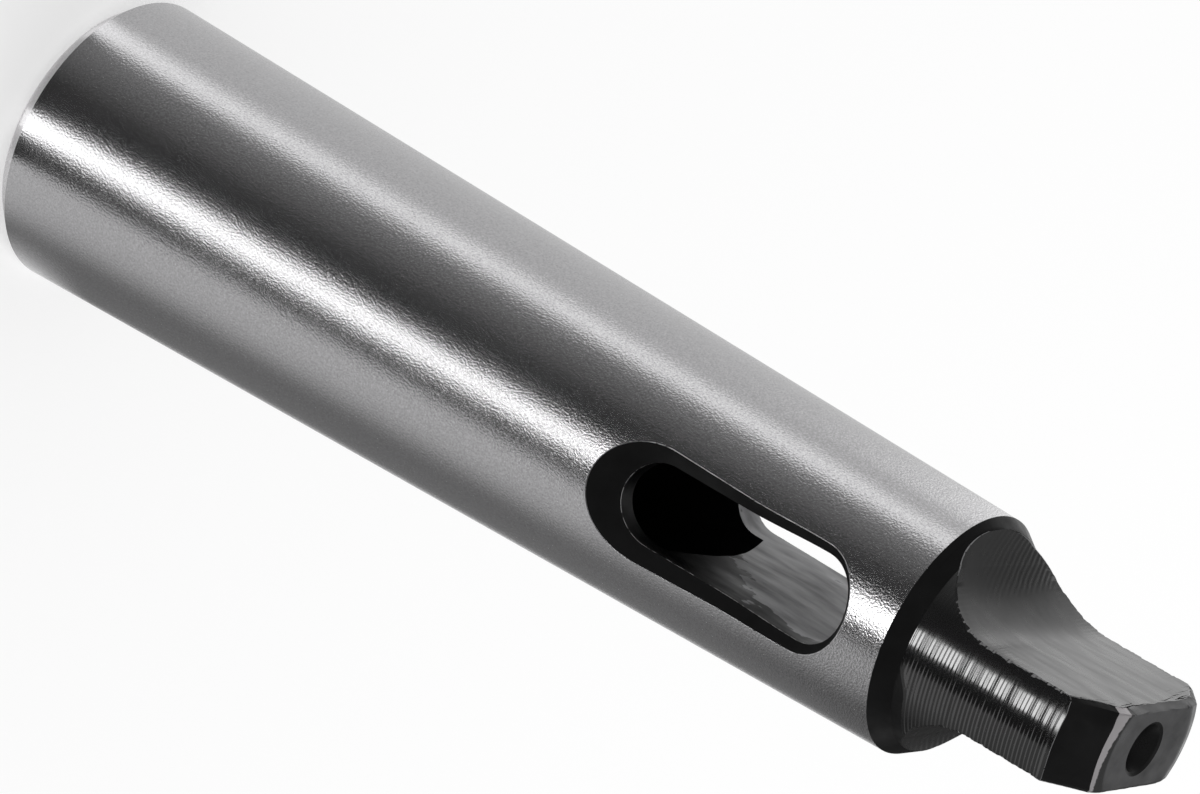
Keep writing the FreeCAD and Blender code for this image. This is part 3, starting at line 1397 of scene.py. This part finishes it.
FINISHES = {
    Finish.GROUND: GroundSteel(),
    Finish.TURNED: Blackened(ior=2.0, roughness=0.12, relief_height=0.002),
    Finish.MILLED: Milled(ior=1.7, roughness=0.3, uneven=0.2, relief_height=0.05,
                          mark_scale=(1200.0, 1200.0, 500.0), streak_scale=(700.0, 700.0, 150.0)),
    Finish.BEVEL: Blackened(ior=1.3, roughness=0.4, relief_height=0.012),
    Finish.WALL: SlotWall(shade=0.28, roughness=0.42, ior=1.5, relief_height=0.012,
                          mark_scale=(900.0, 900.0, 500.0), streak_scale=(500.0, 500.0, 150.0)),
    Finish.BORE: Blackened(shade=0.004, roughness=0.4),
    Finish.EDGE: WornEdge(bare_share=0.8, patch=0.5),
    # The lip's bright line is a painted highlight: pale patches that are not metal, so they stay
    # light whatever they face
    Finish.LIP: WornEdge(bare_share=0.6, patch=0.6, bare_tint=(0.6, 0.6, 0.6), metal=0.0),
    Finish.RING: FacedRing(),
    Finish.FACE: Blackened(shade=0.04, ior=1.5, roughness=0.35, relief_height=0.006),
    # Painted reflection: the large end's ground steel is pale and only partly metal, so it reads as
    # light as the white floor that it faces
    Finish.CHAMFER: GroundSteel(tint=(0.85, 0.84, 0.85), roughness=0.55, relief_height=0.02,
                                metal=0.4),
}


@dataclass
class TaperSleeve:
    """The whole sleeve as one closed skin."""

    sizes: Sizes
    columns: int = 28
    sharp_angle: float = 20.0
    rings: TurnedRings = field(default_factory=TurnedRings)

    def build(self) -> bpy.types.Object:
        """Build the sleeve, attach it to its body and hide the CAD part.

        Returns:
            The finished object, which stands for the CAD node.
        """
        skin = Skin()
        slot = DriftSlot(self.sizes, skin)
        slot.add()
        TaperShank(self.sizes, skin, slot, self.columns).add()
        TangEnd(self.sizes, skin, self.columns, ring_pitch=self.rings.pitch).add()
        made = skin.build("dressed_sleeve")
        for finish in Finish:
            made.data.materials.append(FINISHES[finish].make(finish.value))
        self.rings.apply(made, made.data.materials[FINISH_INDEX[Finish.TURNED]])
        made.data.set_sharp_from_angle(angle=math.radians(self.sharp_angle))
        self.true_taper(made.data)
        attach(made, BODY)
        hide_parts(NODE)
        return made

    def true_taper(self, mesh: bpy.types.Mesh) -> None:
        """Give the ground taper the normals of a true cone, so that no facet shows.

        Args:
            mesh: The sleeve's mesh, whose other faces keep the normals that they have.
        """
        ground = FINISH_INDEX[Finish.GROUND]
        slope = 0.5 / self.sizes.outer_taper_run
        normals = [Vector((0.0, 0.0, 0.0))] * len(mesh.loops)
        for face in mesh.polygons:
            if face.material_index != ground:
                continue
            for corner in face.loop_indices:
                place = mesh.vertices[mesh.loops[corner].vertex_index].co
                out = math.hypot(place.x, place.y)
                normals[corner] = Vector((place.x, place.y, slope * out)).normalized()
        mesh.normals_split_custom_set(normals)


def glow_card(name: str, rows: list[Row], tones: list[float]) -> None:
    """Make a card that glows and is seen only by glossy surfaces.

    Args:
        name: The card's name.
        rows: Its rows of points in millimetres, all of one length.
        tones: The strength of its light at each point.
    """
    count = len(rows[0])
    faces = [(first, first + 1, first + count + 1, first + count)
             for start in range(0, (len(rows) - 1) * count, count)
             for first in range(start, start + count - 1)]
    mesh = bpy.data.meshes.new(name)
    mesh.from_pydata([metres(place) for row in rows for place in row], [], faces)
    mesh.attributes.new("tone", "FLOAT", "POINT").data.foreach_set("value", tones)
    made = put_in_scene(name, mesh)
    glow = bpy.data.materials.new(name)
    glow.cycles.emission_sampling = "NONE"
    glow.use_nodes = True
    nodes = Nodes(glow.node_tree)
    tone = nodes.add("ShaderNodeAttribute", attribute_name="tone").outputs["Fac"]
    light = nodes.add("ShaderNodeEmission", {"Strength": tone})
    nodes.add("ShaderNodeOutputMaterial", {"Surface": light.outputs[0]})
    mesh.materials.append(glow)
    for kind in ("camera", "diffuse", "shadow", "transmission", "volume_scatter"):
        setattr(made, f"visible_{kind}", False)


@dataclass(frozen=True)
class Card:
    """One card of the light table, bounded by the facings of the surface that mirror it.

    A facing is the angle in degrees by which a part of the sleeve's side is turned away
    from the camera. The strength runs evenly from one edge to the other.
    """

    name: str
    start: float
    end: float
    strength: Pair
    soft: Pair

    def tone(self, facing: float) -> float:
        """Return the card's strength where a surface mirrors it.

        Args:
            facing: The angle of the surface, in degrees.

        Returns:
            The strength of its light.
        """
        rise = smooth((facing - self.start) / self.soft[0] + 0.5)
        fall = smooth((self.end - facing) / self.soft[1] + 0.5)
        share = max(0.0, min(1.0, (facing - self.start) / (self.end - self.start)))
        return rise * fall * (self.strength[0] + (self.strength[1] - self.strength[0]) * share)


CARDS = (
    Card("side wall", -100.0, -30.5, (0.68, 0.5), (1.0, 6.0)),
    Card("side strip", -40.0, -31.5, (0.66, 0.66), (5.0, 4.0)),
    Card("flag", -29.0, -8.0, (0.2, 0.0), (5.0, 1.0)),
    Card("key light", 5.3, 13.2, (2.0, 2.0), (1.0, 1.0)),
    Card("key glow", 3.0, 16.5, (0.07, 0.07), (4.0, 5.0)),
    Card("front panel", 23.2, 44.5, (0.58, 0.46), (1.5, 20.0)),
    Card("low wall", 40.0, 100.0, (0.12, 0.18), (12.0, 1.0)),
    Card("far wall", 82.0, 100.0, (0.7, 0.9), (8.0, 1.0)),
)


@dataclass
class LightTable:
    """Cards around the sleeve's foot that only its glossy surface sees.

    Further out only the tang mirrors the table, so there it is raised for the tang's flat
    and lowered for its turned parts. Facings are in degrees, and reaches in millimetres.
    """

    azimuth: float
    turned_back: float = 0.25
    cards: tuple[Card, ...] = CARDS
    base_tone: float = 0.045
    foot_radius: float = 15.0
    foot_reach: Pair = (18.0, 4.0)
    foot_facing: Pair = (48.0, 88.0)
    foot_tone: float = 0.9
    tang_reach: float = 252.0
    wall_facing: float = -50.0
    wall_reach: Pair = (345.0, 600.0)
    wall_gain: Pair = (2.1, 1.3)
    key_facing: Pair = (4.0, 15.0)
    key_reach: Pair = (260.0, 520.0)
    key_gain: float = 3.0
    key_dip_from: float = 205.0
    key_dip: float = 0.5
    dim_tone: float = 0.15
    low_reach: float = 268.0
    low_gain: float = 0.4
    dark_facing: float = 60.0
    dark_tone: float = 0.05
    more_rows: tuple[float, ...] = (0.0, 11.0, 40.0, 150.0, 362.0, 450.0, 560.0)
    reach: float = 1500.0
    height: float = 0.05
    columns: int = 720

    def distances(self) -> list[float]:
        """Return how far out the rows of points lie: at every reach, and at some more."""
        return sorted({*self.more_rows, *self.foot_reach, self.key_dip_from, self.tang_reach,
                       *self.key_reach, self.low_reach, *self.wall_reach, self.reach})

    def far_tone(self, tone: float, facing: float, far: float) -> float:
        """Return the table's strength at one point.

        Args:
            tone: The strength that the cards have for this facing.
            facing: The facing that mirrors this part of the table.
            far: How far out it lies.

        Returns:
            The strength.
        """
        on_key = self.key_facing[0] < facing < self.key_facing[1]
        if on_key and self.key_dip_from <= far <= self.key_reach[0]:
            return tone * self.key_dip
        if far <= self.tang_reach:
            near = ramp(far, *self.foot_reach)
            return tone + self.foot_tone * near * ramp(facing, *self.foot_facing)
        if facing < self.wall_facing:
            near, distant = self.wall_gain
            return tone * (near + (distant - near) * ramp(far, *self.wall_reach))
        if on_key:
            bright = far <= self.key_reach[1]
            return tone * self.key_gain if bright else min(tone, self.dim_tone)
        if facing > self.key_facing[1] and far >= self.low_reach:
            tone *= self.low_gain
        dark = far > self.wall_reach[0] and facing > self.dark_facing
        return min(tone, self.dark_tone) if dark else tone

    def build(self) -> None:
        """Build the table, whose cards are bounded by the rays that the side mirrors."""
        rows, tones = [], []
        middle = self.azimuth - self.turned_back
        for facing in spread(-90.0, 90.0, self.columns):
            around, away = (math.radians(middle + turn) for turn in (facing, 2 * facing))
            tone = self.base_tone + sum(card.tone(facing) for card in self.cards)
            rows.append([(self.foot_radius * math.cos(around) + far * math.cos(away),
                          self.foot_radius * math.sin(around) + far * math.sin(away),
                          self.height) for far in self.distances()])
            tones += [self.far_tone(tone, facing, far) for far in self.distances()]
        glow_card("light_table", rows, tones)


@dataclass
class LightDome:
    """A dome over the sleeve that glossy surfaces see: dark in front and bright behind.

    A turn is the angle away from the camera's side and a rise the height above the
    horizon, both in degrees.
    """

    azimuth: float
    radius: float = 1480.0
    front_tone: float = 0.10
    back_tone: float = 0.85
    back_turn: Pair = (92.0, 138.0)
    top_tone: float = 0.5
    top_rise: Pair = (50.0, 90.0)
    flag_start: Pair = (128.0, 134.0)
    flag_end: Pair = (177.0, 173.0)
    flag_rise: Pair = (25.0, 21.0)
    high_share: float = 0.25
    high_rise: Pair = (4.0, 28.0)
    lowest: float = -2.0
    columns: int = 120
    rows: int = 24

    def tone(self, turn: float, rise: float) -> float:
        """Return the dome's strength in one direction.

        Args:
            turn: The angle away from the camera's side, in degrees.
            rise: The height above the horizon, in degrees.

        Returns:
            The strength of the light from there.
        """
        flag = ramp(turn, *self.flag_start) * ramp(turn, *self.flag_end)
        flag *= ramp(rise, *self.flag_rise)
        share = ramp(abs(turn), *self.back_turn) * (1 - flag)
        share *= 1 - (1 - self.high_share) * ramp(rise, *self.high_rise)
        side = self.front_tone + (self.back_tone - self.front_tone) * share
        return side + (self.top_tone - side) * ramp(rise, *self.top_rise)

    def build(self) -> None:
        """Build the dome from level circles."""
        rows, tones = [], []
        first, last = (math.radians(self.azimuth + turn) for turn in (-180.0, 180.0))
        for rise in spread(self.lowest, 90.0, self.rows):
            out, up = (self.radius * part(math.radians(rise)) for part in (math.cos, math.sin))
            rows.append(ring_row(out, up, first, last, self.columns))
            tones += [self.tone(turn, rise) for turn in spread(-180.0, 180.0, self.columns)]
        glow_card("light_dome", rows, tones)


@dataclass
class Studio:
    """The floor, the backdrop light and the lamp."""

    floor_radius: float = 3.0
    floor_tone: float = 0.95
    floor_glow: float = 0.5
    sky: float = 0.75
    lamp_place: Triple = (-0.5, 0.5, 1.2)
    lamp_aim: Triple = (0.0, 0.0, 0.07)
    lamp_size: float = 0.8
    lamp_power: float = 6.0

    def build_floor(self) -> None:
        """Lay the floor, which keeps the shadow and is white to the camera elsewhere."""
        bpy.ops.mesh.primitive_circle_add(vertices=64, radius=self.floor_radius, fill_type="NGON")
        floor = bpy.context.object
        floor.name = "floor"
        paint = bpy.data.materials.new("floor")
        paint.use_nodes = True
        nodes = Nodes(paint.node_tree)
        shine = nodes.add("ShaderNodeBsdfDiffuse", {"Color": (self.floor_tone,) * 3 + (1.0,)})
        white = nodes.add("ShaderNodeEmission", {"Strength": 1.0})
        seen = self.seen_directly(nodes)
        mix = nodes.add("ShaderNodeMixShader", {
            0: nodes.math("MULTIPLY", seen, self.floor_glow),
            1: shine.outputs[0], 2: white.outputs[0]})
        nodes.add("ShaderNodeOutputMaterial", {"Surface": mix.outputs[0]})
        floor.data.materials.append(paint)

    def seen_directly(self, nodes: Nodes) -> Socket:
        """Tell what is seen directly from what only lights other things.

        Args:
            nodes: The nodes to add to.

        Returns:
            1 for a ray from the camera, a mirror or glass, and 0 for any other.
        """
        path = nodes.add("ShaderNodeLightPath").outputs
        either = nodes.math("MAXIMUM", path["Is Camera Ray"], path["Is Glossy Ray"])
        return nodes.math("MAXIMUM", either, path["Is Transmission Ray"])

    def build_sky(self) -> None:
        """Light the scene evenly from a pale world, which is white where it is seen."""
        world = bpy.context.scene.world or bpy.data.worlds.new("world")
        bpy.context.scene.world = world
        world.use_nodes = True
        nodes = Nodes(world.node_tree)
        seen = self.seen_directly(nodes)
        added = nodes.math("MULTIPLY", seen, 1.0 - self.sky)
        strength = nodes.math("ADD", added, self.sky)
        sky = nodes.add("ShaderNodeBackground", {"Color": (1.0, 1.0, 1.0, 1.0),
                                                 "Strength": strength})
        nodes.add("ShaderNodeOutputWorld", {"Surface": sky.outputs[0]})

    def build_lamp(self) -> None:
        """Hang a soft lamp behind the sleeve, which gives the floor its soft shadow."""
        data = bpy.data.lights.new("lamp", "AREA")
        data.size = self.lamp_size
        data.energy = self.lamp_power
        lamp = put_in_scene("lamp", data)
        lamp.location = self.lamp_place
        aim = Vector(self.lamp_aim) - lamp.location
        lamp.rotation_euler = aim.to_track_quat("-Z", "Y").to_euler()
        lamp.visible_glossy = False

    def build(self) -> None:
        """Build the floor and the light."""
        self.build_floor()
        self.build_sky()
        self.build_lamp()


@dataclass(frozen=True)
class StudioCamera:
    """The camera, aimed at a point inside the sleeve, with the frame's long side rolled."""

    azimuth: float = -18.076
    elevation: float = 28.577
    roll: float = -120.36
    distance: float = 720.0
    target: Triple = (6.372, -5.021, 72.666)
    lens: float = 214.97
    sensor: float = 36.0
    clip_start: float = 0.01

    def build(self) -> None:
        """Build the camera and make it the scene's own."""
        turn, rise, roll = (math.radians(a) for a in (self.azimuth, self.elevation, self.roll))
        back = Vector((math.cos(rise) * math.cos(turn), math.cos(rise) * math.sin(turn),
                       math.sin(rise)))
        level = (-back).cross(Vector((0.0, 0.0, 1.0))).normalized()
        upright = level.cross(-back)
        up = upright * math.cos(roll) + level * math.sin(roll)
        right = (-back).cross(up)
        place = (Vector(self.target) + back * self.distance) * MM
        data = bpy.data.cameras.new("camera")
        data.lens = self.lens
        data.sensor_width = self.sensor
        data.clip_start = self.clip_start
        made = put_in_scene("camera", data)
        made.matrix_world = Matrix((
            (right.x, up.x, back.x, place.x),
            (right.y, up.y, back.y, place.y),
            (right.z, up.z, back.z, place.z),
            (0.0, 0.0, 0.0, 1.0)))
        bpy.context.scene.camera = made


def main() -> None:
    """Build the sleeve, the studio and the camera."""
    logging.basicConfig(level=logging.INFO, format="%(name)s: %(message)s")
    low, high = CAD_BOUNDS
    sizes = Sizes(length=(high[2] - low[2]) / MM)
    log.info("sleeve of %.1f mm", sizes.length)
    made = TaperSleeve(sizes).build()
    log.info("%s built, %d faces", made.name, len(made.data.polygons))
    camera = StudioCamera()
    camera.build()
    log.info("camera placed")
    Studio().build()
    LightTable(camera.azimuth).build()
    LightDome(camera.azimuth).build()
    log.info("studio built")
    bpy.context.scene.view_settings.view_transform = "Standard"


if __name__ == "__main__":
    main()
